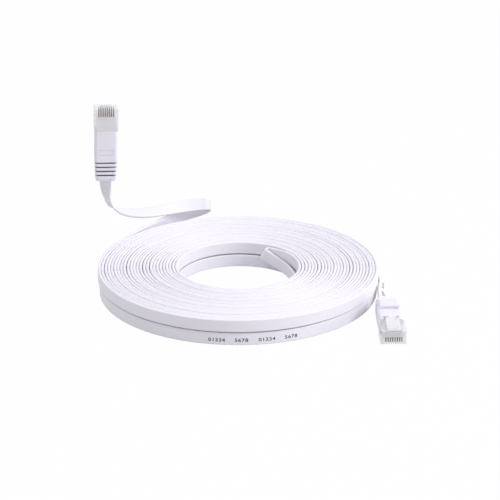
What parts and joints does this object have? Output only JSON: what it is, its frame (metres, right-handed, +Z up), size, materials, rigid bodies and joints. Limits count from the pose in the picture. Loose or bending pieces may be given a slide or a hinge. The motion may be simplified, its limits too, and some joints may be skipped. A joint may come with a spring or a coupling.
{
  "type": "ethernet patch cable",
  "caption": "Flat white network patch cable wound in a doubled two-layer coil, with one booted modular plug standing up on its free end and one lying beside the coil.",
  "frame": {"origin": "on the surface the coil rests on, below the middle of the coil", "axes": "+Z up, along the coil's axis; +Y away from the viewer of the picture, so the lying plug's nose points to -Y; +X to the right"},
  "size_m": [0.1447, 0.1405, 0.0719],
  "materials": {
    "jacket": "smooth white PVC, slight sheen",
    "boot": "moulded white PVC",
    "clear_body": "clear polycarbonate",
    "load_bar": "white nylon",
    "contacts": "gold-plated phosphor bronze",
    "wire_white_orange": "thin insulation",
    "wire_orange": "thin insulation",
    "wire_white_green": "thin insulation",
    "wire_blue": "thin insulation",
    "wire_white_blue": "thin insulation",
    "wire_green": "thin insulation",
    "wire_white_brown": "thin insulation",
    "wire_brown": "thin insulation"
  },
  "bodies": {
    "cable": {"coil": "jacket", "lead_a": "jacket", "lead_b": "jacket", "housing_a": "clear_body", "load_bar_a": "load_bar", "boot_a": "boot", "housing_b": "clear_body", "load_bar_b": "load_bar", "boot_b": "boot", "contact_a1": "contacts", "contact_a2": "contacts", "contact_a3": "contacts", "contact_a4": "contacts", "contact_a5": "contacts", "contact_a6": "contacts", "contact_a7": "contacts", "contact_a8": "contacts", "contact_b1": "contacts", "contact_b2": "contacts", "contact_b3": "contacts", "contact_b4": "contacts", "contact_b5": "contacts", "contact_b6": "contacts", "contact_b7": "contacts", "contact_b8": "contacts", "wire_a1": "wire_white_orange", "wire_a2": "wire_orange", "wire_a3": "wire_white_green", "wire_a4": "wire_blue", "wire_a5": "wire_white_blue", "wire_a6": "wire_green", "wire_a7": "wire_white_brown", "wire_a8": "wire_brown", "wire_b1": "wire_white_orange", "wire_b2": "wire_orange", "wire_b3": "wire_white_green", "wire_b4": "wire_blue", "wire_b5": "wire_white_blue", "wire_b6": "wire_green", "wire_b7": "wire_white_brown", "wire_b8": "wire_brown"},
    "latch_a_body": {"latch_a": "clear_body"},
    "latch_b_body": {"latch_b": "clear_body"}
  },
  "joints": [
    {"name": "latch_a_press", "type": "hinge", "parent": "cable", "child": "latch_a_body", "pos_m": [-0.06405, 0.0601, 0.07098], "axis": [-0.9942, -0.1045, 0.0262], "range_deg": [0, 7], "stiffness_Nm_per_rad": 0.3},
    {"name": "latch_b_press", "type": "hinge", "parent": "cable", "child": "latch_b_body", "pos_m": [0.06868, -0.06458, 0.0072], "axis": [-0.9994, -0.0349, 0], "range_deg": [0, 7], "stiffness_Nm_per_rad": 0.3}
  ]
}
